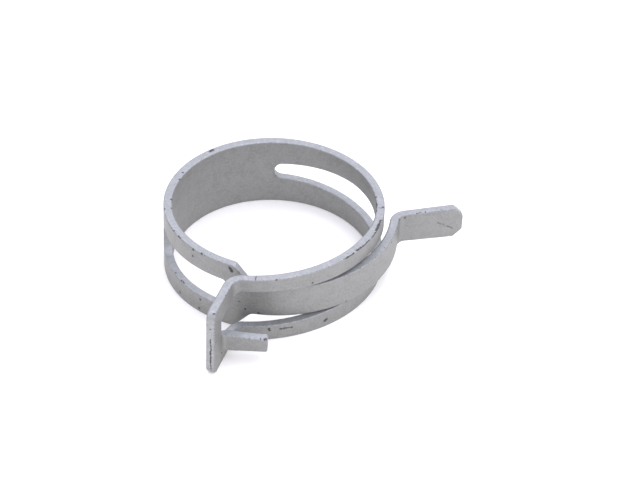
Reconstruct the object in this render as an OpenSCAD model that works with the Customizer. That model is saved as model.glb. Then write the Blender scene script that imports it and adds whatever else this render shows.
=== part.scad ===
// Constant-tension spring band hose clamp.
//
// The clamp is one strip of profiled spring steel, wound a little over one
// turn and a quarter. One end is a tongue with a grip ear. The other end is a
// window with two rails and a grip ear of its own. The tongue passes through
// the window, so squeezing the two ears together opens the ring.
//
// The strip is drawn as a chain of zones. Neighbouring zones meet face to
// face at flex lines, and each flex line turns about the outside corner of
// the strip, so the zones part on the inside when the ring opens.
//
// Frame: Z is the axis of the hose, the origin is on that axis at half the
// strip's width, and X points towards the tongue's grip ear.
// "Normal" below is the direction of the strip's outward normal in degrees:
// 90 is the back of the ring, larger values run towards the tongue.

/* [Strip] */
// Width of the strip, along the hose
strip_w = 12; // [11.6:0.1:12.6]
// Thickness of the strip
strip_t = 1.4; // [1.3:0.05:1.5]

/* [Ring] */
// Outside radius of the back of the ring
ring_r = 17.45; // [17:0.05:17.8]
// Outside radius of the right side, where the window is
right_r = 16.25; // [16.05:0.05:16.45]
// Outside radius of the rails in front
rails_r = 21.55; // [21:0.05:22]
// Outside radius of the left side, where the slot is
left_r = 15.95; // [15.75:0.05:16.15]
// Outside radius of the shoulder
shoulder_r = 18.55; // [18:0.05:19]
// Outside radius of the tongue
tongue_r = 19.65; // [19.2:0.05:20]

/* [Window] */
// Half height of the window at its round start
window_start_half = 1.4; // [1.3:0.05:1.5]
// Half height of the window at the back right
window_mid_half = 2.35; // [2.3:0.05:2.4]
// Half height of the window in front
window_front_half = 3.5; // [3.4:0.05:3.6]
// Height of the window's centre line above the middle of the strip, at the back
window_back_rise = 0.15; // [0.1:0.05:0.2]
// Height of the window's centre line above the middle of the strip, in front
window_rise = 0.2; // [0.1:0.05:0.3]

/* [Slot] */
// Half height of the slot in the left side
slot_half = 2.65; // [2.5:0.05:2.8]
// Normal at the slot's square end
slot_end_n = 247.5; // [246:0.5:248]

/* [Tongue] */
// Top of the tongue
tongue_top = 2.8; // [2.7:0.05:2.9]
// Bottom of the tongue where it leaves the shoulder
tongue_bottom = -2.85; // [-2.9:0.05:-2.7]
// Bottom of the tongue at its ear
tongue_ear_bottom = -2.55; // [-2.6:0.05:-2.4]
// Normal at which the shoulder starts to narrow
shoulder_n = 251.5; // [250:0.5:252]
// Length of the shoulder's slope, along the strip
shoulder_len = 2.8; // [2.4:0.1:2.9]

/* [Tongue ear] */
// Inside radius of the tongue ear's bend
tongue_bend_r = 1.6; // [1.2:0.1:1.8]
// Angle of the tongue ear's bend
tongue_bend = 72; // [70:1:75]
// Flat length of the tongue ear
tongue_ear_len = 9.35; // [8:0.05:10]
// Top of the tongue ear at its tip
tongue_ear_top = 3.1; // [2.9:0.05:3.2]
// Chamfer on the corners of the tongue ear
tongue_ear_corner = 1.5; // [1:0.1:2]

/* [Fork ear] */
// Inside radius of the fork ear's bend
fork_bend_r = 1.6; // [1.4:0.1:1.9]
// Angle of the fork ear's bend
fork_bend = 74.2; // [72:0.2:76]
// Flat length of the fork ear
fork_ear_len = 7.5; // [7.1:0.1:7.8]
// Width of the crossbar at the end of the fork ear
crossbar_w = 3.1; // [2.8:0.1:3.3]
// Corner radius of the fork ear
fork_ear_corner = 1.2; // [0.8:0.1:1.6]
// Top of the window in the fork ear
ear_window_top = 2.6; // [2.4:0.1:2.8]
// Bottom of the window in the fork ear
ear_window_bottom = -4.15; // [-4.3:0.05:-4.1]

/* [Stop lug] */
// Top of the stop lug
lug_top = -0.9; // [-1.1:0.1:-0.7]
// Bottom of the stop lug
lug_bottom = -4; // [-4.05:0.05:-3.8]
// Inside radius of the stop lug's bend
lug_bend_r = 0.8; // [0.6:0.1:1]
// Angle of the stop lug's bend
lug_bend = 76; // [74:1:78]
// Flat length of the stop lug
lug_len = 6.1; // [5.2:0.1:6.3]

/* [Hidden] */
$fn = 128;
h = strip_w / 2;
zinc = [0.74, 0.78, 0.82];
// Overlap of a bend with the flat plate that follows it, within one zone
join = 0.02;

// Normals at the flex lines, from the fork ear round to the tongue ear.
fork_n = -90.7;
front_n = -58;
side_n = -26;
right_n = 0;
rear_n = 26;
root_n = 58;
back_n = 96;
left_n = 132;
slot_n = 168;
slot_mid_n = 196;
slot_front_n = 224;
tongue_n = 262;
tongue_mid_n = 286;
tongue_tip_n = 319;
ear_n = 354.5;

function u(a) = [cos(a), sin(a)];

// Centres of the arcs. Each arc is tangent to its neighbour on the outside face.
c_ring = [0, 0];
c_right = c_ring + (ring_r - right_r) * u(rear_n);
c_rails = c_right + (right_r - rails_r) * u(side_n);
c_left = c_ring + (ring_r - left_r) * u(slot_n);
c_shoulder = c_left + (left_r - shoulder_r) * u(slot_front_n);
c_tongue = c_shoulder + (shoulder_r - tongue_r) * u(tongue_mid_n);

// Window edges at a normal: half height and the rise of its centre line.
window_round_n = 87.5;
window_mid_n = 40;
function window_half(n) = n > window_mid_n
    ? window_start_half + (window_mid_half - window_start_half) * (window_round_n - n) / (window_round_n - window_mid_n)
    : window_mid_half + (window_front_half - window_mid_half) * (window_mid_n - n) / (window_mid_n - fork_n);
function window_mid(n) = n > window_mid_n ? window_back_rise
    : window_back_rise + (window_rise - window_back_rise) * (window_mid_n - n) / (window_mid_n - fork_n);
function window_up(n) = window_mid(n) + window_half(n);
function window_down(n) = window_mid(n) - window_half(n);

// A piece of the strip, bent to outside radius r about centre c.
module bent(c, r, n0, n1, z0 = -h, z1 = h)
    translate([c[0], c[1], 0]) rotate([0, 0, n0])
        rotate_extrude(angle = n1 - n0) translate([r - strip_t, z0]) square([strip_t, z1 - z0]);

// Punches the children, drawn flat as [along the strip, z], outwards through
// the strip at normal n. The along axis is zero at n.
module punch(c, r, n)
    translate([c[0], c[1], 0]) rotate([0, 0, n]) rotate([90, 0, 90])
        translate([0, 0, r / 2]) linear_extrude(height = r) children();

// Place along the strip of normal n, seen flat from normal m, on outside radius r.
function along(r, n, m) = r * sin(n - m);

// Upper or lower rail of the window between two normals, with a straight taper.
module window_rail(c, r, n0, n1, upper) {
    m = (n0 + n1) / 2;
    x0 = along(r, n0, m);
    x1 = along(r, n1, m);
    z0 = upper ? window_up(n0) : window_down(n0);
    z1 = upper ? window_up(n1) : window_down(n1);
    s = (z1 - z0) / (x1 - x0);
    far = upper ? h + 1 : -h - 1;
    intersection() {
        bent(c, r, n0, n1);
        punch(c, r, m) polygon([[x0 - 2, z0 - 2 * s], [x1 + 2, z1 + 2 * s], [x1 + 2, far], [x0 - 2, far]]);
    }
}

// Straight plate: starts at p, runs in direction a, with its outside face on p
// and its thickness to the side given by q (1 left, -1 right).
module plate(p, a, q, x0, x1, z0, z1)
    translate([p[0], p[1], 0]) rotate([0, 0, a])
        translate([x0, q > 0 ? 0 : -strip_t, z0]) cube([x1 - x0, strip_t, z1 - z0]);

// ---- Fork ear: the rails bend outwards and end in a crossbar ----
fork_p = c_rails + rails_r * u(fork_n);
fork_c = fork_p + fork_bend_r * u(fork_n);
fork_a0 = fork_n + 180;
fork_dir = fork_n - 90 + fork_bend;
fork_q = fork_c + fork_bend_r * u(fork_a0 + fork_bend);
rail_len = fork_ear_len - crossbar_w;

module fork_leg(upper) {
    z_bend = upper ? (window_up(fork_n) + ear_window_top) / 2 : (window_down(fork_n) + ear_window_bottom) / 2;
    z_ear = upper ? ear_window_top : ear_window_bottom;
    color(zinc) union() {
        bent(fork_c, fork_bend_r + strip_t, fork_a0, fork_a0 + fork_bend, upper ? z_bend : -h, upper ? h : z_bend);
        plate(fork_q, fork_dir, -1, -join, rail_len, upper ? z_ear : -h, upper ? h : z_ear);
    }
}
module fork_ear_upper_leg() fork_leg(true);
module fork_ear_lower_leg() fork_leg(false);

module fork_crossbar()
    color(zinc) intersection() {
        plate(fork_q, fork_dir, -1, rail_len, fork_ear_len, -h, h);
        translate([fork_q[0], fork_q[1], 0]) rotate([0, 0, fork_dir]) rotate([90, 0, 0])
            translate([0, 0, -1]) linear_extrude(height = strip_t + 2) union() {
                translate([0, -h]) square([fork_ear_len - fork_ear_corner, strip_w]);
                translate([0, -h + fork_ear_corner]) square([fork_ear_len, strip_w - 2 * fork_ear_corner]);
                for (s = [-1, 1])
                    translate([fork_ear_len - fork_ear_corner, s * (h - fork_ear_corner)]) circle(r = fork_ear_corner);
            }
    }

// Stop lug, lanced from the window and folded towards the tongue ear.
lug_p = fork_q + rail_len * u(fork_dir);
lug_c = lug_p + lug_bend_r * u(fork_dir + 90);
lug_a0 = fork_dir - 90;
lug_dir = fork_dir + 180 - lug_bend;
lug_q = lug_c + lug_bend_r * u(lug_a0 - lug_bend);
module stop_lug()
    color(zinc) union() {
        bent(lug_c, lug_bend_r + strip_t, lug_a0 - lug_bend, lug_a0, lug_bottom, lug_top);
        plate(lug_q, lug_dir, 1, -join, lug_len, lug_bottom, lug_top);
    }

// ---- Rails of the window ----
module fork_upper_rail() color(zinc) window_rail(c_rails, rails_r, fork_n, front_n, true);
module fork_lower_rail() color(zinc) window_rail(c_rails, rails_r, fork_n, front_n, false);
module front_upper_rail() color(zinc) window_rail(c_rails, rails_r, front_n, side_n, true);
module front_lower_rail() color(zinc) window_rail(c_rails, rails_r, front_n, side_n, false);
module side_upper_rail() color(zinc) window_rail(c_right, right_r, side_n, right_n, true);
module side_lower_rail() color(zinc) window_rail(c_right, right_r, side_n, right_n, false);
module right_upper_rail() color(zinc) window_rail(c_right, right_r, right_n, rear_n, true);
module right_lower_rail() color(zinc) window_rail(c_right, right_r, right_n, rear_n, false);
module rear_upper_rail() color(zinc) window_rail(c_ring, ring_r, rear_n, root_n, true);
module rear_lower_rail() color(zinc) window_rail(c_ring, ring_r, rear_n, root_n, false);

// Band in which the window starts with a round end.
module window_root() {
    m = (root_n + back_n) / 2;
    x0 = along(ring_r, root_n, m);
    xr = along(ring_r, window_round_n, m);
    s = (window_start_half - window_half(root_n)) / (xr - x0);
    color(zinc) difference() {
        bent(c_ring, ring_r, root_n, back_n);
        punch(c_ring, ring_r, m) translate([0, window_back_rise]) union() {
            polygon([[x0 - 2, -window_half(root_n) + 2 * s], [xr, -window_start_half],
                [xr, window_start_half], [x0 - 2, window_half(root_n) - 2 * s]]);
            translate([xr, 0]) circle(r = window_start_half);
        }
    }
}

// ---- Full band ----
module back_band() color(zinc) bent(c_ring, ring_r, back_n, left_n);
module left_band() color(zinc) bent(c_ring, ring_r, left_n, slot_n);

// ---- Slotted side ----
slot_round_n = 194.5;
module slot_root() {
    m = (slot_n + slot_mid_n) / 2;
    xr = along(left_r, slot_round_n, m);
    color(zinc) difference() {
        bent(c_left, left_r, slot_n, slot_mid_n);
        punch(c_left, left_r, m) union() {
            translate([xr, -slot_half]) square([5, 2 * slot_half]);
            translate([xr, 0]) circle(r = slot_half);
        }
    }
}
module slot_upper_rail() color(zinc) bent(c_left, left_r, slot_mid_n, slot_front_n, slot_half, h);
module slot_lower_rail() color(zinc) bent(c_left, left_r, slot_mid_n, slot_front_n, -h, -slot_half);

// Shoulder: the slot ends, and the band narrows to the tongue.
module tongue_shoulder() {
    m = (slot_front_n + tongue_n) / 2;
    x0 = along(shoulder_r, slot_front_n, m);
    xs = along(shoulder_r, slot_end_n, m);
    xa = along(shoulder_r, shoulder_n, m);
    xb = xa + shoulder_len;
    color(zinc) difference() {
        intersection() {
            bent(c_shoulder, shoulder_r, slot_front_n, tongue_n);
            punch(c_shoulder, shoulder_r, m)
                polygon([[x0 - 2, -h - 1], [xa - 0.8, -h - 1], [xa, -h], [xb - 0.5, tongue_bottom - 0.5], [xb + 0.3, tongue_bottom], [xb + 9, tongue_bottom],
                    [xb + 9, tongue_top], [xb + 0.3, tongue_top], [xb - 0.5, tongue_top + 0.5], [xa, h], [xa - 0.8, h + 1], [x0 - 2, h + 1]]);
        }
        punch(c_shoulder, shoulder_r, m)
            polygon([[x0 - 2, -slot_half], [xs - 0.8, -slot_half], [xs, -slot_half + 0.8],
                [xs, slot_half - 0.8], [xs - 0.8, slot_half], [x0 - 2, slot_half]]);
    }
}

// ---- Tongue ----
function tongue_down(n) = tongue_bottom + (tongue_ear_bottom - tongue_bottom) * (n - tongue_n) / (ear_n - tongue_n);

// Part of the tongue between two normals. Its bottom edge climbs towards the ear.
module tongue_zone(c, r, n0, n1) {
    m = (n0 + n1) / 2;
    x0 = along(r, n0, m);
    x1 = along(r, n1, m);
    s = (tongue_down(n1) - tongue_down(n0)) / (x1 - x0);
    intersection() {
        bent(c, r, n0, n1, -h, tongue_top);
        punch(c, r, m) polygon([[x0 - 2, tongue_down(n0) - 2 * s], [x1 + 2, tongue_down(n1) + 2 * s], [x1 + 2, h], [x0 - 2, h]]);
    }
}
module tongue_root() color(zinc) tongue_zone(c_shoulder, shoulder_r, tongue_n, tongue_mid_n);
module tongue_middle() color(zinc) tongue_zone(c_tongue, tongue_r, tongue_mid_n, tongue_tip_n);
module tongue_tip() color(zinc) tongue_zone(c_tongue, tongue_r, tongue_tip_n, ear_n);

// Tongue ear: bends outwards to a chamfered grip plate.
ear_p = c_tongue + tongue_r * u(ear_n);
ear_c = ear_p + tongue_bend_r * u(ear_n);
ear_a0 = ear_n - 180;
ear_dir = ear_n + 90 - tongue_bend;
ear_q = ear_c + tongue_bend_r * u(ear_a0 - tongue_bend);
module tongue_ear()
    color(zinc) union() {
        bent(ear_c, tongue_bend_r + strip_t, ear_a0 - tongue_bend, ear_a0, tongue_ear_bottom, tongue_top);
        intersection() {
            plate(ear_q, ear_dir, 1, -join, tongue_ear_len, tongue_ear_bottom, tongue_ear_top);
            translate([ear_q[0], ear_q[1], 0]) rotate([0, 0, ear_dir]) rotate([90, 0, 0])
                translate([0, 0, -strip_t - 1]) linear_extrude(height = strip_t + 2)
                    polygon([[-1, -h], [tongue_ear_len - tongue_ear_corner - 1, -h], [tongue_ear_len - tongue_ear_corner, tongue_ear_bottom],
                        [tongue_ear_len, tongue_ear_bottom + tongue_ear_corner], [tongue_ear_len, tongue_ear_top - tongue_ear_corner],
                        [tongue_ear_len - tongue_ear_corner, tongue_ear_top], [0, tongue_top], [-1, tongue_top]]);
        }
    }

stop_lug();
fork_crossbar();
fork_ear_upper_leg();
fork_ear_lower_leg();
fork_upper_rail();
fork_lower_rail();
front_upper_rail();
front_lower_rail();
side_upper_rail();
side_lower_rail();
right_upper_rail();
right_lower_rail();
rear_upper_rail();
rear_lower_rail();
window_root();
back_band();
left_band();
slot_root();
slot_upper_rail();
slot_lower_rail();
tongue_shoulder();
tongue_root();
tongue_middle();
tongue_tip();
tongue_ear();
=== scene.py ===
import math

import bmesh
import bpy
import numpy as np
from mathutils import Matrix, Vector
from mathutils.geometry import delaunay_2d_cdt


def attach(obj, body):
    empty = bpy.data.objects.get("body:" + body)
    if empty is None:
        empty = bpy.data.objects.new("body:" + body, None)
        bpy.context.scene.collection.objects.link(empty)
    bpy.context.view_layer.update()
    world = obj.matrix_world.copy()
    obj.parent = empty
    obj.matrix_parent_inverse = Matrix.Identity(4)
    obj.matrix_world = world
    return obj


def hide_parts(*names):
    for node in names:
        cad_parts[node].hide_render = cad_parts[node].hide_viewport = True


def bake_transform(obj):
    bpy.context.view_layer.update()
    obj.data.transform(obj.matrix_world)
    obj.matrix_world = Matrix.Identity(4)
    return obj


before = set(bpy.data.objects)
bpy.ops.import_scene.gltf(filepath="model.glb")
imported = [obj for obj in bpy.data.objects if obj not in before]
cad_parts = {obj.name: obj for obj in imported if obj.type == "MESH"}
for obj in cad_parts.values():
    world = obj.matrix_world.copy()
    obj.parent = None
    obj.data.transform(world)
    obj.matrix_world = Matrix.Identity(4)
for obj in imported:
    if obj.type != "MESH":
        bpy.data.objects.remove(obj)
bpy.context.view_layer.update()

MM = 0.001

# ---------------------------------------------------------------- the strip's path
# All lengths below are millimetres and all angles degrees, as in the CAD source.
T = 1.4
HALF = 6.0
R_RING, R_RIGHT, R_RAILS = 17.45, 16.25, 21.55
R_LEFT, R_SHOULDER, R_TONGUE = 15.95, 18.55, 19.65
FORK_N, EAR_N = -90.7, 354.5
FORK_R, FORK_BEND, FORK_LEN, CROSSBAR = 1.6, 74.2, 7.5, 3.1
EAR_R, EAR_BEND, EAR_LEN = 1.6, 72.0, 9.35
TONGUE_TOP, TONGUE_BOTTOM, EAR_BOTTOM, EAR_TOP = 2.8, -2.85, -2.55, 3.1
LUG_R, LUG_BEND, LUG_LEN = 0.8, 76.0, 6.1
LUG_TOP, LUG_BOTTOM = -0.9, -4.0
LUG_TWIST = 13.0
EAR_WINDOW_TOP, EAR_WINDOW_BOTTOM = 2.6, -4.15
SLIT = (LUG_BOTTOM + EAR_WINDOW_BOTTOM) / 2


def u(a):
    a = np.radians(a)
    return np.stack([np.cos(a), np.sin(a)], -1)


c_ring = np.zeros(2)
c_right = c_ring + (R_RING - R_RIGHT) * u(26)
c_rails = c_right + (R_RIGHT - R_RAILS) * u(-26)
c_left = c_ring + (R_RING - R_LEFT) * u(168)
c_shoulder = c_left + (R_LEFT - R_SHOULDER) * u(224)
c_tongue = c_shoulder + (R_SHOULDER - R_TONGUE) * u(286)
fork_c = c_rails + (R_RAILS + FORK_R) * u(FORK_N)
fork_dir = FORK_N - 90 + FORK_BEND
fork_q = fork_c + FORK_R * u(FORK_N + 180 + FORK_BEND)
ear_c = c_tongue + (R_TONGUE + EAR_R) * u(EAR_N)
ear_dir = EAR_N + 90 - EAR_BEND
ear_q = ear_c + EAR_R * u(EAR_N - 180 - EAR_BEND)
lug_c = fork_q + (FORK_LEN - CROSSBAR) * u(fork_dir) + LUG_R * u(fork_dir + 90)
lug_dir = fork_dir + 180 - LUG_BEND
lug_q = lug_c + LUG_R * u(fork_dir - 90 - LUG_BEND)

# Runs of the path from the fork ear's end to the tongue ear's end:
# line: (length, start, heading, thickness heading); arc on the band: centre,
# radius, normals; fold: centre, radius, first angle, sweep (both turn outwards).
RUNS = []
_s = 0.0


def run(kind, length, **k):
    global _s
    RUNS.append(dict(kind=kind, s0=_s, s1=_s + length, **k))
    _s += length


run("line", FORK_LEN, p=fork_q + FORK_LEN * u(fork_dir), a=fork_dir + 180, w=fork_dir - 90)
run("fold", (FORK_R + T / 2) * math.radians(FORK_BEND), c=fork_c, r=FORK_R, a0=FORK_N + 180 + FORK_BEND, sweep=FORK_BEND)
for c, r, n0, n1 in [(c_rails, R_RAILS, FORK_N, -26), (c_right, R_RIGHT, -26, 26), (c_ring, R_RING, 26, 168),
                     (c_left, R_LEFT, 168, 224), (c_shoulder, R_SHOULDER, 224, 286), (c_tongue, R_TONGUE, 286, EAR_N)]:
    run("arc", r * math.radians(n1 - n0), c=c, r=r, n0=n0, n1=n1)
run("fold", (EAR_R + T / 2) * math.radians(EAR_BEND), c=ear_c, r=EAR_R, a0=EAR_N - 180, sweep=EAR_BEND)
S_EAR = _s
run("line", EAR_LEN, p=ear_q, a=ear_dir, w=ear_dir + 90)
S_END = _s
S_FOLD0, S_FOLD1 = RUNS[1]["s0"], RUNS[1]["s1"]
S_LUG = CROSSBAR
LUG_FOLD = (LUG_R + T / 2) * math.radians(LUG_BEND)
S_LUG_END = S_LUG + LUG_FOLD + LUG_LEN
LUG_RUNS = [
    dict(kind="fold", s0=S_LUG, s1=S_LUG + LUG_FOLD, c=lug_c, r=LUG_R, a0=fork_dir - 90, sweep=LUG_BEND),
    dict(kind="line", s0=S_LUG + LUG_FOLD, s1=S_LUG_END, p=lug_q, a=lug_dir, w=lug_dir + 90),
]


def at_normal(n):
    for r in RUNS:
        if r["kind"] == "arc" and r["n0"] <= n <= r["n1"]:
            return r["s0"] + r["r"] * math.radians(n - r["n0"])


def place(runs, s):
    """Outside-face point, heading, thickness direction and how much the strip's length shrinks per mm of depth."""
    s = np.asarray(s, float)
    o, t, w, k = np.zeros((len(s), 2)), np.zeros((len(s), 2)), np.zeros((len(s), 2)), np.zeros((len(s), 2))
    for i, r in enumerate(runs):
        lo = -1e9 if i == 0 else r["s0"]
        hi = 1e9 if i == len(runs) - 1 else r["s1"]
        m = (s >= lo) & (s < hi)
        if not m.any():
            continue
        x = s[m] - r["s0"]
        if r["kind"] == "line":
            o[m] = r["p"] + x[:, None] * u(r["a"])
            t[m], w[m] = u(r["a"]), u(r["w"])
            k[m] = (1, 0)
        elif r["kind"] == "arc":
            a = r["n0"] + np.degrees(x / r["r"])
            o[m], t[m], w[m] = r["c"] + r["r"] * u(a), u(a + 90), -u(a)
            k[m] = (1, -1 / r["r"])
        else:
            a = r["a0"] - np.degrees(x / (r["r"] + T / 2))
            o[m], t[m], w[m] = r["c"] + r["r"] * u(a), u(a - 90), u(a)
            k[m] = (r["r"] / (r["r"] + T / 2), 1 / (r["r"] + T / 2))
    return o, t, w, k


def smooth(x):
    x = np.clip(x, 0, 1)
    return x * x * (3 - 2 * x)


def wrap(q, nrm, lug):
    """Flat pattern (along, across, depth) and its normals, folded into the clamp, in mm."""
    pos, out = np.zeros_like(q), np.zeros_like(nrm)
    for flag, runs in ((False, RUNS), (True, LUG_RUNS)):
        m = lug == flag
        if not m.any():
            continue
        s, z, d = q[m].T
        n = nrm[m].copy()
        if flag:
            th = np.radians(LUG_TWIST) * smooth((s - S_LUG - 0.6) / (S_LUG_END - S_LUG - 1.5))
            zc, dc = (LUG_TOP + LUG_BOTTOM) / 2, T / 2
            dz, dd = z - zc, d - dc
            z = zc + dz * np.cos(th) + dd * np.sin(th)
            d = dc - dz * np.sin(th) + dd * np.cos(th)
            nz, nd = n[:, 1].copy(), n[:, 2].copy()
            n[:, 1] = nz * np.cos(th) + nd * np.sin(th)
            n[:, 2] = -nz * np.sin(th) + nd * np.cos(th)
        o, t, w, k = place(runs, s)
        p2 = o + d[:, None] * w
        pos[m] = np.column_stack([p2, z])
        stretch = np.maximum(k[:, 0] + k[:, 1] * d, 0.05)
        v2 = (n[:, 0] / stretch)[:, None] * t + n[:, 2][:, None] * w
        v = np.column_stack([v2, n[:, 1]])
        out[m] = v / np.linalg.norm(v, axis=1)[:, None]
    return pos, out


# ---------------------------------------------------------------- the flat pattern
def step_at(s):
    """Longest edge allowed at a place along the strip."""
    if S_FOLD0 - 0.4 < s < S_FOLD1 + 0.4 or S_EAR - 3.3 < s < S_EAR + 0.4:
        return 0.14
    return 0.42


def rounded(points, closed=True):
    """Corners (x, y, radius) to a polyline with arcs."""
    out = []
    n = len(points)
    for i in range(n):
        x, y, r = points[i]
        if r <= 0:
            out.append((x, y))
            continue
        p = np.array((x, y), float)
        a = np.array(points[i - 1][:2], float) - p
        b = np.array(points[(i + 1) % n][:2], float) - p
        a, b = a / np.linalg.norm(a), b / np.linalg.norm(b)
        half = math.acos(max(-1, min(1, float(a @ b)))) / 2
        if half > math.radians(89):
            out.append((x, y))
            continue
        reach = r / math.tan(half)
        c = p + (a + b) / np.linalg.norm(a + b) * (r / math.sin(half))
        p0, p1 = p + a * reach, p + b * reach
        t0 = math.atan2(*(p0 - c)[::-1])
        t1 = math.atan2(*(p1 - c)[::-1])
        d = (t1 - t0 + math.pi) % (2 * math.pi) - math.pi
        k = max(3, int(math.ceil(abs(d) / math.radians(9))))
        for j in range(k + 1):
            out.append(tuple(c + r * np.array((math.cos(t0 + d * j / k), math.sin(t0 + d * j / k)))))
    return out


def arc_points(cx, cy, r, a0, a1, k):
    return [(cx + r * math.cos(math.radians(a0 + (a1 - a0) * j / k)), cy + r * math.sin(math.radians(a0 + (a1 - a0) * j / k)), 0) for j in range(k + 1)]


def divide(loop, fine=None):
    out = []
    for i, (x, y) in enumerate(loop):
        x1, y1 = loop[(i + 1) % len(loop)]
        length = math.hypot(x1 - x, y1 - y)
        if length < 1e-6:
            continue
        h = fine if fine is not None and fine[i] else step_at((x + x1) / 2)
        k = max(1, int(math.ceil(length / (h if not isinstance(h, bool) else 0.14))))
        for j in range(k):
            out.append((x + (x1 - x) * j / k, y + (y1 - y) * j / k))
    return np.array(out)


S_ROUND = at_normal(87.5)
S_MID = at_normal(40)
S_RAIL0 = at_normal(FORK_N)


def window_half(s):
    if s > S_MID:
        return 1.4 + (2.35 - 1.4) * (S_ROUND - s) / (S_ROUND - S_MID)
    return 2.35 + (3.5 - 2.35) * (S_MID - s) / (S_MID - S_RAIL0)


def window_mid(s):
    return 0.15 if s > S_MID else 0.15 + 0.05 * (S_MID - s) / (S_MID - S_RAIL0)


def window_up(s):
    if s >= S_RAIL0:
        return window_mid(s) + window_half(s)
    return EAR_WINDOW_TOP + (3.7 - EAR_WINDOW_TOP) * float(smooth((s - S_FOLD0 + 1.1) / (S_FOLD1 - S_FOLD0 + 1.1)))


def window_down(s):
    if s >= S_RAIL0:
        return window_mid(s) - window_half(s)
    return EAR_WINDOW_BOTTOM + (-3.3 - EAR_WINDOW_BOTTOM) * float(smooth((s - S_FOLD0 + 0.6) / (S_FOLD1 - S_FOLD0 + 0.6)))


sa, sb = at_normal(251.5), at_normal(251.5) + 2.8
outer = rounded([
    (0, -HALF, 1.25), (sa, -HALF, 1.0), (sb, TONGUE_BOTTOM, 1.5), (at_normal(EAR_N), EAR_BOTTOM, 6.0),
    (S_END - 1.45, EAR_BOTTOM, 0.8), (S_END, EAR_BOTTOM + 1.45, 0.8), (S_END, EAR_TOP - 1.45, 0.8), (S_END - 1.45, EAR_TOP, 0.8),
    (S_EAR, TONGUE_TOP, 6.0), (sb, TONGUE_TOP, 1.5), (sa, HALF, 1.0), (0, HALF, 1.25)])
outer = divide(outer)

stations = [s for s in np.arange(S_LUG + 0.8, S_ROUND - 0.2, 0.4)]
win = [(S_LUG, EAR_WINDOW_TOP, 0.55)]
win += [(s, window_up(s), 0) for s in stations]
win += arc_points(S_ROUND, 0.15, 1.4, 90, -90, 26)
win += [(s, window_down(s), 0) for s in reversed(stations)]
n_before_lug = len(win)
win += [(S_LUG, EAR_WINDOW_BOTTOM, 0.07), (S_LUG, LUG_BOTTOM, 0.07), (S_LUG_END, LUG_BOTTOM, 0.45),
        (S_LUG_END, LUG_TOP, 0.35), (S_LUG, LUG_TOP, 0.9)]
win = rounded(win)


def divide_window(loop):
    """The lug's own edges are cut finely where it folds."""
    out = []
    for i, (x, y) in enumerate(loop):
        x1, y1 = loop[(i + 1) % len(loop)]
        length = math.hypot(x1 - x, y1 - y)
        if length < 1e-6:
            continue
        on_lug = SLIT < y < 2.0 and SLIT < y1 < 2.0 and min(x, x1) >= S_LUG - 1e-6 and max(x, x1) <= S_LUG_END + 1e-6
        h = 0.42
        if on_lug:
            steps = [S_LUG, S_LUG + LUG_FOLD + 0.3]
            if abs(y1 - y) < 1e-6 and length > 2:
                # a long edge of the lug: fine near the fold, coarse on the flat
                xs = np.concatenate([np.arange(S_LUG + 0.05, steps[1], 0.13), np.arange(steps[1], S_LUG_END, 0.4)])
                lo, hi = min(x, x1), max(x, x1)
                xs = [v for v in xs if lo + 0.05 < v < hi - 0.05]
                xs = [lo] + xs
                if x1 < x:
                    xs = [hi] + list(reversed(xs[1:]))
                out += [(v, y) for v in xs]
                continue
            h = 0.14
        else:
            h = step_at((x + x1) / 2)
        k = max(1, int(math.ceil(length / h)))
        for j in range(k):
            out.append((x + (x1 - x) * j / k, y + (y1 - y) * j / k))
    return np.array(out)


win = divide_window(win)
S_SLOT0, S_SLOT1 = at_normal(194.5), at_normal(247.5)
slot = rounded([(S_SLOT1, 2.65, 0.8), (S_SLOT1, -2.65, 0.8)] + arc_points(S_SLOT0, 0, 2.65, -90, -270, 30))
slot = divide(slot)


def area(p):
    x, y = p.T
    return 0.5 * float(np.sum(x * np.roll(y, -1) - np.roll(x, -1) * y))


def tidy(p):
    """Drops points nearer than 5 microns to the one before."""
    keep = [i for i in range(len(p)) if np.linalg.norm(p[i] - p[i - 1]) > 0.005]
    return p[keep]


outer, win, slot = tidy(outer), tidy(win), tidy(slot)
assert area(outer) > 0 and area(slot) < 0, (area(outer), area(slot))
LOOPS = [outer, win, slot]


def into_material(p):
    """Unit-offset direction to the left of travel at each point (mitred)."""
    d = np.roll(p, -1, 0) - p
    d = d / np.linalg.norm(d, axis=1)[:, None]
    left = np.column_stack([-d[:, 1], d[:, 0]])
    m = left + np.roll(left, 1, 0)
    m = m / np.linalg.norm(m, axis=1)[:, None]
    c = np.clip((m * left).sum(1), 0.6, 1)
    return m / c[:, None], m


# The outside corners of the edge are sharper than the inside ones, as on a blanked strip.
RHO = 0.15
RHO_IN = 0.27
LEVELS = []
for a in (0, 30, 60, 90):
    a = math.radians(a)
    LEVELS.append((RHO * (1 - math.sin(a)), RHO * (1 - math.cos(a)), math.sin(a), -math.cos(a)))
LEVELS.append((0, T / 2, 1, 0))
for a in (90, 60, 30, 0):
    a = math.radians(a)
    LEVELS.append((RHO_IN * (1 - math.sin(a)), T - RHO_IN * (1 - math.cos(a)), math.sin(a), math.cos(a)))

verts, norms, lugs, edge_d = [], [], [], []
faces = []


def is_lug(x, y):
    return S_LUG < x < S_LUG + 1.2 and SLIT < y < 2.45


def lug_range(p):
    """Index mask of the window loop's points that lie on the lug, from its root outwards."""
    m = np.zeros(len(p), bool)
    # walk: find the tip, then go both ways until the along value is back at the root
    tip = int(np.argmax(np.where((p[:, 1] > SLIT) & (p[:, 1] < -0.85) & (p[:, 0] < S_LUG_END + 1e-3), p[:, 0], -1)))
    for step in (1, -1):
        i = tip
        while p[i][0] > S_LUG + 1e-6:
            m[i] = True
            i = (i + step) % len(p)
    return m


def add_vert(q, n, lug, e):
    verts.append(q)
    norms.append(n)
    lugs.append(lug)
    edge_d.append(e)
    return len(verts) - 1


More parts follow.
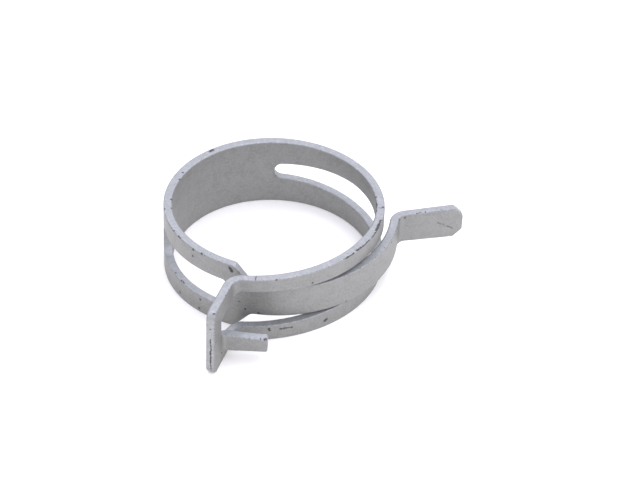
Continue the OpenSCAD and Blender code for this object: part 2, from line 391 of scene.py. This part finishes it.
loop_ids = []
insets = []
for li, p in enumerate(LOOPS):
    off, unit = into_material(p)
    mask = lug_range(p) if li == 1 else np.zeros(len(p), bool)
    ids = []
    for d, w, ns, nw in LEVELS:
        row = []
        for i in range(len(p)):
            q = p[i] + off[i] * d
            lug = bool(mask[i] and q[0] > S_LUG)
            row.append(add_vert((q[0], q[1], w), (-unit[i][0] * ns, -unit[i][1] * ns, nw), lug, d))
        ids.append(row)
    for a, b in zip(ids[:-1], ids[1:]):
        for i in range(len(p)):
            j = (i + 1) % len(p)
            faces.append((a[j], a[i], b[i], b[j]))
    loop_ids.append(ids)
    insets.append((p + off * RHO, mask))


# ---- flat faces: triangulated with inner points, the lug on its own beyond its root
def inside(q, polys):
    hit = np.zeros(len(q), bool)
    for p in polys:
        x0, y0 = p[:, 0], p[:, 1]
        x1, y1 = np.roll(x0, -1), np.roll(y0, -1)
        for k in range(0, len(q), 400):
            qx, qy = q[k:k + 400, 0][:, None], q[k:k + 400, 1][:, None]
            cross = ((y0 > qy) != (y1 > qy)) & (qx < (x1 - x0) * (qy - y0) / np.where(y1 == y0, 1e-12, y1 - y0) + x0)
            hit[k:k + 400] ^= (cross.sum(1) % 2).astype(bool)
    return hit


def nearest(q, p):
    out = np.zeros(len(q))
    for k in range(0, len(q), 400):
        d = np.linalg.norm(q[k:k + 400, None, :] - p[None, :, :], axis=2)
        out[k:k + 400] = d.min(1)
    return out


win_in, win_mask = insets[1]
n = len(win_in)
S_CUT = S_LUG + 0.75
tip = int(np.argmax(np.where(win_mask, win_in[:, 0], -1)))
i_up = tip  # walking forwards along the lug's top edge, back to the root
while win_in[(i_up + 1) % n][0] > S_CUT:
    i_up = (i_up + 1) % n
i_dn = tip
while win_in[(i_dn - 1) % n][0] > S_CUT:
    i_dn = (i_dn - 1) % n
# the points kept for the lug run from i_dn through the tip to i_up
lug_idx = [(i_dn + k) % n for k in range((i_up - i_dn) % n + 1)]
rest_idx = [(i_up + k) % n for k in range((i_dn - i_up) % n + 1)]
A, B = win_in[i_up], win_in[i_dn]
seam = [A + (B - A) * k / 16 + np.array((0.08 * math.sin(math.pi * k / 16), 0)) for k in range(1, 16)]


def fill(boundary_pts, boundary_ids, grid, seam_pts, seam_ids, keep_polys, lug_of):
    """Triangles over boundary loops plus grid points; the same for both faces of the strip."""
    pts, ids0, ids1, edges = [], [], [], []
    for p, (i0, i1) in zip(boundary_pts, boundary_ids):
        base = len(pts)
        for k in range(len(p)):
            pts.append(Vector(p[k]))
            ids0.append(i0[k])
            ids1.append(i1[k])
            edges.append((base + k, base + (k + 1) % len(p)))
    allb = np.array([tuple(v) for v in pts])
    if len(grid):
        d = nearest(grid, allb)
        ok = inside(grid, keep_polys) & (d > 0.26)
        ed = nearest(grid[ok], np.concatenate(LOOPS))
        for g, e in zip(grid[ok], ed):
            pts.append(Vector(g))
            lug = lug_of(g)
            ids0.append(add_vert((g[0], g[1], 0.0), (0, 0, -1), lug, float(e)))
            ids1.append(add_vert((g[0], g[1], T), (0, 0, 1), lug, float(e)))
    vo, _, fo, orig, _, _ = delaunay_2d_cdt(pts, edges, [], 0, 1e-7)
    cen = np.array([(sum((vo[i] for i in f), Vector((0, 0))) / len(f))[:] for f in fo])
    good = inside(cen, keep_polys)
    for f, g in zip(fo, good):
        if not g:
            continue
        k = [orig[i][0] for i in f]
        a = [ids0[i] for i in k]
        b = [ids1[i] for i in k]
        p = [vo[i] for i in f]
        ccw = (p[1][0] - p[0][0]) * (p[2][1] - p[0][1]) - (p[1][1] - p[0][1]) * (p[2][0] - p[0][0]) > 0
        faces.append(tuple(a if not ccw else a[::-1]))
        faces.append(tuple(b if ccw else b[::-1]))


# seam vertices shared by the two fills, on both faces
seam0 = [add_vert((q[0], q[1], 0.0), (0, 0, -1), True, 0.8) for q in seam]
seam1 = [add_vert((q[0], q[1], T), (0, 0, 1), True, 0.8) for q in seam]

top, bottom = LEVELS[0], LEVELS[-1]
o0, o1 = loop_ids[0][0], loop_ids[0][-1]
w0, w1 = loop_ids[1][0], loop_ids[1][-1]
s0_, s1_ = loop_ids[2][0], loop_ids[2][-1]

main_win = np.array([win_in[i] for i in rest_idx] + [tuple(q) for q in reversed(seam)])
main_win_ids = ([w0[i] for i in rest_idx] + seam0[::-1], [w1[i] for i in rest_idx] + seam1[::-1])
lug_loop = np.array([win_in[i] for i in lug_idx] + [tuple(q) for q in seam])
lug_loop_ids = ([w0[i] for i in lug_idx] + seam0, [w1[i] for i in lug_idx] + seam1)

gs = []
s = 0.45
while s < S_END:
    gs.append(s)
    s += step_at(s) * 0.95
rows = np.linspace(-5.55, 5.55, 17)
grid = np.array([(s, z) for i, s in enumerate(gs) for z in rows])
root = np.array([(s, z) for s in np.arange(S_LUG - 0.35, S_CUT, 0.13) for z in np.linspace(LUG_BOTTOM + 0.3, LUG_TOP - 0.25, 10)])
away = ~((grid[:, 0] > S_LUG - 0.35) & (grid[:, 0] < S_CUT + 0.2) & (grid[:, 1] > EAR_WINDOW_BOTTOM - 0.2) & (grid[:, 1] < -0.3))
fill([insets[0][0], main_win, insets[2][0]], [(o0, o1), main_win_ids, (s0_, s1_)],
     np.concatenate([grid[away], root]), None, None, [insets[0][0], main_win, insets[2][0]], lambda g: is_lug(g[0], g[1]))
ls = list(np.arange(S_CUT + 0.13, S_LUG + LUG_FOLD + 0.2, 0.13)) + list(np.arange(S_LUG + LUG_FOLD + 0.3, S_LUG_END, 0.35))
lug_grid = np.array([(s, z) for s in ls for z in np.linspace(LUG_BOTTOM + 0.35, LUG_TOP - 0.35, 6)])
fill([lug_loop], [lug_loop_ids], lug_grid, None, None, [lug_loop], lambda g: True)

# ---------------------------------------------------------------- cut into pieces and fold
CUTS = [-74.25, -42, -13, 13, 42, 77, 114, 150, 182, 210, 243, 274, 302.5, 336.75]
PIECES = [
    ("fork_ear_strip", ("fork_ear",), ["stop_lug", "fork_crossbar", "fork_ear_upper_leg", "fork_ear_lower_leg", "fork_upper_rail", "fork_lower_rail"]),
    ("front_rails_strip", ("fork_ear", "front_rails"), ["front_upper_rail", "front_lower_rail"]),
    ("side_rails_strip", ("front_rails", "side_rails"), ["side_upper_rail", "side_lower_rail"]),
    ("right_rails_strip", ("side_rails", "right_rails"), ["right_upper_rail", "right_lower_rail"]),
    ("rear_rails_strip", ("right_rails", "rear_rails"), ["rear_upper_rail", "rear_lower_rail"]),
    ("window_root_strip", ("rear_rails", "window_root"), ["window_root"]),
    ("back_band_strip", ("window_root", "back_band"), ["back_band"]),
    ("left_band_strip", ("back_band", "left_band"), ["left_band"]),
    ("slot_root_strip", ("left_band", "slot_root"), ["slot_root"]),
    ("slot_rails_strip", ("slot_root", "slot_rails"), ["slot_upper_rail", "slot_lower_rail"]),
    ("shoulder_strip", ("slot_rails", "tongue_shoulder"), ["tongue_shoulder"]),
    ("tongue_root_strip", ("tongue_shoulder", "tongue_root"), ["tongue_root"]),
    ("tongue_middle_strip", ("tongue_root", "tongue_middle"), ["tongue_middle"]),
    ("tongue_tip_strip", ("tongue_middle", "tongue_end"), ["tongue_tip"]),
    ("tongue_ear_strip", ("tongue_end",), ["tongue_ear"]),
]
cut_s = [at_normal(n) for n in CUTS]

bm = bmesh.new()
nl = bm.verts.layers.float_vector.new("flat_normal")
lg = bm.verts.layers.float.new("lug")
el = bm.verts.layers.float.new("edge")
bv = []
for q, nn, l, e in zip(verts, norms, lugs, edge_d):
    v = bm.verts.new(q)
    v[nl] = Vector(nn)
    v[lg] = 1.0 if l else 0.0
    v[el] = e
    bv.append(v)
for f in faces:
    try:
        bm.faces.new([bv[i] for i in f])
    except ValueError:
        pass
loose = [v for v in bm.verts if not v.link_faces]
bmesh.ops.delete(bm, geom=loose, context="VERTS")
open_edges = sum(1 for e in bm.edges if len(e.link_faces) != 2)
print("flat pattern: verts", len(bm.verts), "faces", len(bm.faces), "edges not shared by two faces", open_edges)
for s in cut_s:
    near = [g for g in bm.faces if min(v.co.x for v in g.verts) < s < max(v.co.x for v in g.verts) or any(abs(v.co.x - s) < 1e-4 for v in g.verts)]
    if s < S_LUG_END + 1:
        near = [g for g in near if not any(v[lg] > 0.5 for v in g.verts)]
    geom = list({e for f in near for e in f.edges}) + list({v for f in near for v in f.verts}) + near
    bmesh.ops.bisect_plane(bm, geom=geom, dist=1e-5, plane_co=(s, 0, 0), plane_no=(1, 0, 0))
bm.verts.ensure_lookup_table()
bm.faces.ensure_lookup_table()
bounds_s = [-1e9] + cut_s + [1e9]
piece_of = []
for f in bm.faces:
    c = f.calc_center_median()
    lug = any(v[lg] > 0.5 for v in f.verts)
    piece_of.append(0 if lug else int(np.searchsorted(cut_s, c.x)))
V = np.array([v.co[:] for v in bm.verts])
N = np.array([v[nl][:] for v in bm.verts])
N /= np.linalg.norm(N, axis=1)[:, None]
LUG = np.array([v[lg] > 0.5 for v in bm.verts])
EDGE = np.array([v[el] for v in bm.verts])
F = [[v.index for v in f.verts] for f in bm.faces]
bm.verts.index_update()
F = [[v.index for v in f.verts] for f in bm.faces]
bm.free()
P, PN = wrap(V, N, LUG)


# ---------------------------------------------------------------- material: zinc-flake coated spring steel
def coated_steel():
    mat = bpy.data.materials.new("zinc_flake_coated_steel")
    mat.use_nodes = True
    nt = mat.node_tree
    nt.nodes.clear()

    def node(kind, **k):
        x = nt.nodes.new(kind)
        for a, b in k.items():
            setattr(x, a, b)
        return x

    def link(a, b):
        nt.links.new(a, b)

    def value(sock, v):
        if isinstance(v, bpy.types.NodeSocket):
            link(v, sock)
        else:
            sock.default_value = v

    def maths(op, a, b=0.0, c=0.0, clamp=False):
        x = node("ShaderNodeMath", operation=op, use_clamp=clamp)
        value(x.inputs[0], a)
        value(x.inputs[1], b)
        value(x.inputs[2], c)
        return x.outputs[0]

    def vmaths(op, a, b):
        x = node("ShaderNodeVectorMath", operation=op)
        value(x.inputs[0], a)
        value(x.inputs[1], b)
        return x.outputs["Value"] if op in ("DISTANCE", "LENGTH", "DOT_PRODUCT") else x.outputs["Vector"]

    def noise(vec, scale, detail=3.0, rough=0.55, dist=0.0):
        x = node("ShaderNodeTexNoise")
        link(vec, x.inputs["Vector"])
        x.inputs["Scale"].default_value = scale
        x.inputs["Detail"].default_value = detail
        x.inputs["Roughness"].default_value = rough
        x.inputs["Distortion"].default_value = dist
        return x.outputs["Fac"]

    def ramp(v, lo, hi, to0=0.0, to1=1.0):
        x = node("ShaderNodeMapRange", interpolation_type="SMOOTHSTEP", clamp=False)
        value(x.inputs["Value"], v)
        x.inputs["From Min"].default_value = lo
        x.inputs["From Max"].default_value = hi
        x.inputs["To Min"].default_value = to0
        x.inputs["To Max"].default_value = to1
        return x.outputs["Result"]

    def mix(fac, a, b):
        x = node("ShaderNodeMix", data_type="RGBA")
        value(x.inputs["Factor"], fac)
        value(x.inputs[6], a)
        value(x.inputs[7], b)
        return x.outputs[2]

    strip = node("ShaderNodeAttribute", attribute_name="strip").outputs["Vector"]
    edge = node("ShaderNodeAttribute", attribute_name="edge").outputs["Fac"]
    sep = node("ShaderNodeSeparateXYZ")
    link(strip, sep.inputs[0])
    # stretched coordinates for rolling lines along the strip
    comb = node("ShaderNodeCombineXYZ")
    link(maths("MULTIPLY", sep.outputs[0], 0.05), comb.inputs[0])
    link(sep.outputs[1], comb.inputs[1])
    link(sep.outputs[2], comb.inputs[2])
    cloud = noise(strip, 0.55, 4, 0.6)
    mottle = noise(strip, 2.6, 5, 0.65, 0.4)
    grain = noise(strip, 14.0, 3, 0.6)
    lines = noise(comb.outputs[0], 7.0, 3, 0.6)

    base = mix(ramp(cloud, 0.35, 0.68), (0.254, 0.254, 0.244, 1), (0.298, 0.296, 0.285, 1))
    base = mix(ramp(mottle, 0.38, 0.7), base, (0.332, 0.330, 0.319, 1))
    base = mix(ramp(grain, 0.3, 0.75, 0.0, 0.28), base, (0.209, 0.209, 0.203, 1))
    base = mix(ramp(lines, 0.56, 0.74, 0.0, 0.22), base, (0.381, 0.378, 0.369, 1))
    # painted highlight: the sheared edge is painted lighter and bluer, standing in for the blue top light that the
    # up-facing edges catch
    base = mix(ramp(edge, 0.0, 0.22, 0.28, 0.0), base, (0.46, 0.475, 0.50, 1))
    # thin or rubbed coating along the edges
    rub = maths("MULTIPLY", ramp(edge, 0.0, 0.35, 1.0, 0.0), ramp(noise(strip, 1.7, 4, 0.6), 0.47, 0.66))
    base = mix(maths("MULTIPLY", rub, 0.35), base, (0.48, 0.49, 0.51, 1))
    # chips: bare, darkened steel, mostly on the edges
    chip_n = noise(strip, 3.4, 4, 0.62, 0.3)
    chip_edge = maths("MULTIPLY", ramp(chip_n, 0.655, 0.70), ramp(edge, 0.05, 0.5, 1.0, 0.0))
    # the corners of the edge are worn thin, and darker
    depth = maths("MINIMUM", sep.outputs[2], maths("SUBTRACT", T, sep.outputs[2]))
    corner = maths("MULTIPLY", ramp(depth, 0.04, 0.22, 1.0, 0.0), ramp(edge, 0.0, 0.2, 1.0, 0.0))
    worn = maths("MULTIPLY", corner, ramp(noise(strip, 0.9, 5, 0.7), 0.36, 0.62, 0.15, 1.0))
    base = mix(maths("MULTIPLY", worn, 0.55), base, (0.17, 0.165, 0.18, 1))
    chip_edge = maths("MAXIMUM", chip_edge, maths("MULTIPLY", corner, ramp(noise(strip, 2.3, 4, 0.7), 0.585, 0.62)))
    chip_face = ramp(noise(strip, 5.2, 3, 0.5, 0.2), 0.735, 0.765)
    chips = maths("MAXIMUM", chip_edge, chip_face)
    # single marks and scratches: from (along, across, depth) to (along, across, depth), radius
    warp = node("ShaderNodeVectorMath", operation="SUBTRACT")
    wn = node("ShaderNodeTexNoise")
    link(strip, wn.inputs["Vector"])
    wn.inputs["Scale"].default_value = 3.0
    wn.inputs["Detail"].default_value = 4.0
    link(wn.outputs["Color"], warp.inputs[0])
    warp.inputs[1].default_value = (0.5, 0.5, 0.5)
    shift = node("ShaderNodeVectorMath", operation="SCALE")
    link(warp.outputs[0], shift.inputs[0])
    shift.inputs["Scale"].default_value = 0.55
    moved = vmaths("ADD", strip, shift.outputs[0])
    for a, b, r in MARKS:
        if b is None:
            dist = vmaths("DISTANCE", moved, a)
        else:
            ab = tuple(q - p for p, q in zip(a, b))
            rel = vmaths("SUBTRACT", moved, a)
            t = maths("MULTIPLY", vmaths("DOT_PRODUCT", rel, ab), 1 / sum(v * v for v in ab))
            t = maths("MINIMUM", maths("MAXIMUM", t, 0.0), 1.0)
            along = node("ShaderNodeVectorMath", operation="SCALE")
            along.inputs[0].default_value = ab
            link(t, along.inputs["Scale"])
            dist = vmaths("DISTANCE", rel, along.outputs[0])
        chips = maths("MAXIMUM", chips, ramp(dist, r * 0.6, r * 1.6, 1.0, 0.0))
    base = mix(maths("MULTIPLY", chips, 0.95), base, (0.045, 0.040, 0.042, 1))

    bsdf = node("ShaderNodeBsdfPrincipled")
    link(base, bsdf.inputs["Base Color"])
    value(bsdf.inputs["Metallic"], maths("SUBTRACT", 0.78, maths("MULTIPLY", chips, 0.62)))
    rough = maths("ADD", 0.46, maths("MULTIPLY", mottle, 0.14))
    rough = maths("ADD", rough, maths("MULTIPLY", chips, 0.12))
    value(bsdf.inputs["Roughness"], rough)
    height = maths("ADD", maths("MULTIPLY", grain, 0.5), maths("MULTIPLY", mottle, 0.9))
    height = maths("ADD", height, maths("MULTIPLY", lines, 0.35))
    height = maths("SUBTRACT", height, maths("MULTIPLY", chips, 0.9))
    bump = node("ShaderNodeBump")
    bump.inputs["Strength"].default_value = 0.22
    bump.inputs["Distance"].default_value = 0.00004
    link(height, bump.inputs["Height"])
    link(bump.outputs[0], bsdf.inputs["Normal"])
    out = node("ShaderNodeOutputMaterial")
    link(bsdf.outputs[0], out.inputs[0])
    return mat


MARKS = [
    ((80.8, 6.0, 0.46), (81.3, 6.0, 0.5), 0.26), ((88.8, 6.0, 0.97), None, 0.17), ((90.7, 6.0, 1.25), None, 0.16),
    ((96.4, 6.0, 1.25), None, 0.2), ((98.8, 6.0, 1.25), None, 0.18), ((98.9, 6.0, 0.1), None, 0.16),
    ((104.5, 6.0, 0.1), None, 0.17), ((106.0, 6.0, 0.1), (106.6, 6.0, 0.1), 0.13), ((109.8, 5.8, 0.0), None, 0.2),
    ((111.5, 5.9, 0.0), None, 0.19), ((109.7, 4.5, 0.0), None, 0.17), ((116.6, 5.5, 0.0), (117.0, 4.9, 0.0), 0.22),
    ((104.5, -2.65, 0.35), None, 0.16), ((106.6, -2.65, 0.3), (107.4, -2.65, 0.3), 0.1), ((106.5, -5.0, 0.0), None, 0.22),
    ((111.3, -3.4, 0.0), None, 0.18), ((111.1, -5.3, 0.0), None, 0.21), ((0.6, 5.8, 0.3), None, 0.17),
    ((0.1, 3.9, 1.35), None, 0.16), ((12.4, 6.0, 0.1), (12.5, 6.0, 1.0), 0.08), ((15.6, 5.95, 0.05), None, 0.15),
    ((118.3, -0.8, 0.0), None, 0.16), ((119.2, -2.1, 0.0), None, 0.17), ((121.3, -2.5, 0.0), None, 0.17),
    ((14.6, -3.8, 0.0), (14.7, -4.1, 0.0), 0.2), ((16.2, -4.05, 0.0), (18.2, -4.05, 0.0), 0.1), ((16.4, -4.0, 0.0), None, 0.17),
    ((18.2, -4.1, 0.0), None, 0.16), ((23.8, -4.8, 0.0), (24.2, -4.6, 0.0), 0.2), ((10.1, -0.9, 0.25), None, 0.15),
    ((11.0, -0.9, 0.28), (10.7, -0.9, 0.2), 0.14), ((0.0, 1.2, 0.62), (0.0, -5.2, 0.55), 0.08), ((0.0, -1.6, 0.6), (0.0, -3.6, 0.6), 0.13),
    ((0.0, 3.2, 0.7), None, 0.12), ((44.8, 6.0, 1.25), None, 0.17), ((42.1, 6.0, 0.3), None, 0.17),
    ((41.8, 6.0, 1.25), (41.9, 6.0, 0.1), 0.06), ((37.4, 6.0, 0.3), (38.7, 6.0, 0.28), 0.17), ((36.1, 6.0, 0.2), (37.6, 6.0, 0.26), 0.2),
    ((34.2, 6.0, 0.06), (35.9, 6.0, 0.1), 0.1), ((31.6, 6.0, 0.06), (33.4, 6.0, 0.06), 0.13), ((30.1, 6.0, 0.16), (31.2, 6.0, 0.1), 0.16),
    ((27.2, 6.0, 0.05), (29.4, 6.0, 0.08), 0.11), ((40.9, 6.0, 1.36), (43.4, 6.0, 1.34), 0.12), ((38.1, 5.95, 1.4), (39.0, 5.95, 1.4), 0.13), ((131.2, -2.75, 0.05), (135.4, -2.65, 0.0), 0.07),
    ((135.6, -2.6, 0.0), None, 0.15), ((21.4, 3.9, 0.0), None, 0.15), ((152.6, 2.5, 0.0), None, 0.17),
    ((154.5, 2.3, 0.0), None, 0.22), ((156.5, 2.8, 0.2), (157.2, 2.8, 0.2), 0.11), ((158.0, 2.8, 0.25), None, 0.16),
    ((160.6, 2.8, 0.3), None, 0.15), ((160.1, 0.6, 0.0), (162.6, -0.75, 0.0), 0.06), ((147.0, 2.2, 0.0), None, 0.16),
]
steel = coated_steel()

hinge_side = 0.5
objects = []
for k, (name, bodies, nodes) in enumerate(PIECES):
    fs = [f for f, p in zip(F, piece_of) if p == k]
    used = sorted({i for f in fs for i in f})
    remap = {i: j for j, i in enumerate(used)}
    me = bpy.data.meshes.new(name)
    me.from_pydata([tuple(P[i] * MM) for i in used], [], [[remap[i] for i in f] for f in fs])
    me.update()
    b = bmesh.new()
    b.from_mesh(me)
    border = [e for e in b.edges if len(e.link_faces) == 1]
    capped = bmesh.ops.holes_fill(b, edges=border, sides=0)["faces"] if border else []
    for f in b.faces:
        f.smooth = True
    for f in capped:
        f.smooth = False
    bmesh.ops.recalc_face_normals(b, faces=b.faces[:])
    bad = sum(1 for e in b.edges if len(e.link_faces) != 2)
    print(name, "verts", len(b.verts), "caps", len(capped), "open edges", bad, "volume mm3 %.1f" % (b.calc_volume() * 1e9))
    b.to_mesh(me)
    b.free()
    assert len(me.vertices) == len(used)
    flat = me.attributes.new("strip", "FLOAT_VECTOR", "POINT")
    flat.data.foreach_set("vector", V[used].astype(np.float32).ravel())
    ed = me.attributes.new("edge", "FLOAT", "POINT")
    ed.data.foreach_set("value", EDGE[used].astype(np.float32))
    me.normals_split_custom_set_from_vertices([tuple(PN[i]) for i in used])
    me.materials.append(steel)
    ob = bpy.data.objects.new(name, me)
    bpy.context.scene.collection.objects.link(ob)
    if len(bodies) == 1:
        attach(ob, bodies[0])
    else:
        n0, n1 = CUTS[k - 1], CUTS[k]
        q, _ = wrap(np.array([(at_normal(n0), 0, 0), (at_normal(n1), 0, 0)], float), np.array([(0, 0, -1.0)] * 2), np.array([False, False]))
        d = (q[1] - q[0]) / np.linalg.norm(q[1] - q[0])
        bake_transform(ob)
    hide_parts(*nodes)
    objects.append(ob)


# ---------------------------------------------------------------- floor, light, camera
def plain(name, colour, grain_scale, spread, roughness):
    """A pale surface with a very slight tone change, so that it isn't one flat value."""
    mat = bpy.data.materials.new(name)
    mat.use_nodes = True
    nt = mat.node_tree
    bsdf = nt.nodes["Principled BSDF"]
    tc = nt.nodes.new("ShaderNodeTexCoord")
    nz = nt.nodes.new("ShaderNodeTexNoise")
    nz.inputs["Scale"].default_value = grain_scale
    nz.inputs["Detail"].default_value = 4
    nt.links.new(tc.outputs["Object"], nz.inputs["Vector"])
    mx = nt.nodes.new("ShaderNodeMix")
    mx.data_type = "RGBA"
    nt.links.new(nz.outputs["Fac"], mx.inputs["Factor"])
    mx.inputs[6].default_value = (*[c * (1 - spread) for c in colour], 1)
    mx.inputs[7].default_value = (*colour, 1)
    nt.links.new(mx.outputs[2], bsdf.inputs["Base Color"])
    bsdf.inputs["Roughness"].default_value = roughness
    bsdf.inputs["Specular IOR Level"].default_value = 0.2
    return mat


fm = bpy.data.meshes.new("floor")
fm.from_pydata([(-1.2, -1.2, -HALF * MM), (1.2, -1.2, -HALF * MM), (1.2, 1.2, -HALF * MM), (-1.2, 1.2, -HALF * MM)], [], [(0, 1, 2, 3)])
floor = bpy.data.objects.new("floor", fm)
bpy.context.scene.collection.objects.link(floor)
fm.materials.append(plain("pale_floor", (0.93, 0.905, 0.86), 60.0, 0.02, 0.7))
glow = fm.materials[0].node_tree.nodes["Principled BSDF"]
glow.inputs["Emission Color"].default_value = (1.0, 0.985, 0.97, 1)
glow.inputs["Emission Strength"].default_value = 0.10


def softbox(name, where, size, power, colour, aim=(0, 0, 0)):
    l = bpy.data.lights.new(name, "AREA")
    l.shape = "RECTANGLE"
    l.size, l.size_y = size
    l.energy = power
    l.color = colour
    o = bpy.data.objects.new(name, l)
    bpy.context.scene.collection.objects.link(o)
    o.location = where
    d = Vector(aim) - Vector(where)
    o.rotation_mode = "QUATERNION"
    o.rotation_quaternion = d.to_track_quat("-Z", "Y")
    return o


softbox("top", (0.05, 0.06, 0.40), (0.50, 0.40), 0.62, (0.84, 0.89, 1.0))
softbox("right", (0.34, -0.20, 0.16), (0.30, 0.22), 0.10, (1.0, 0.98, 0.94))

world = bpy.data.worlds.new("studio")
bpy.context.scene.world = world
world.use_nodes = True
wt = world.node_tree
bg = wt.nodes["Background"]
tc = wt.nodes.new("ShaderNodeTexCoord")
sp = wt.nodes.new("ShaderNodeSeparateXYZ")
wt.links.new(tc.outputs["Generated"], sp.inputs[0])
mr = wt.nodes.new("ShaderNodeMapRange")
wt.links.new(sp.outputs[2], mr.inputs["Value"])
mr.inputs["From Min"].default_value = -0.1
mr.inputs["From Max"].default_value = 0.9
mx = wt.nodes.new("ShaderNodeMix")
mx.data_type = "RGBA"
wt.links.new(mr.outputs["Result"], mx.inputs["Factor"])
mx.inputs[6].default_value = (0.76, 0.73, 0.65, 1)
mx.inputs[7].default_value = (1.70, 1.74, 2.02, 1)
wt.links.new(mx.outputs[2], bg.inputs["Color"])
# the room is lighter on the right
side = wt.nodes.new("ShaderNodeMapRange")
wt.links.new(sp.outputs[0], side.inputs["Value"])
side.inputs["From Min"].default_value = -1.0
side.inputs["From Max"].default_value = 1.0
side.inputs["To Min"].default_value = 0.74
side.inputs["To Max"].default_value = 1.22
wt.links.new(side.outputs["Result"], bg.inputs["Strength"])

el_, roll = math.radians(39.43), math.radians(-2.52)
right = np.array((1.0, 0, 0))
up = np.array((0, math.sin(el_), math.cos(el_)))
fwd = np.array((0, math.cos(el_), -math.sin(el_)))
where = -(-0.42338 * right + 0.03824 * up + 20.0 * fwd) * 17.4 * MM
r2 = math.cos(roll) * right - math.sin(roll) * up
u2 = math.sin(roll) * right + math.cos(roll) * up
cam = bpy.data.cameras.new("camera")
cam.sensor_width = 36
cam.lens = 2196.6 * 36 / 640
cam.clip_start, cam.clip_end = 0.02, 20
co = bpy.data.objects.new("camera", cam)
bpy.context.scene.collection.objects.link(co)
m = Matrix.Identity(4)
for i in range(3):
    m[i][0], m[i][1], m[i][2], m[i][3] = r2[i], u2[i], -fwd[i], where[i]
co.matrix_world = m
bpy.context.scene.camera = co
sc = bpy.context.scene
sc.view_settings.view_transform = "Standard"
sc.view_settings.look = "None"
sc.view_settings.exposure = 0.0
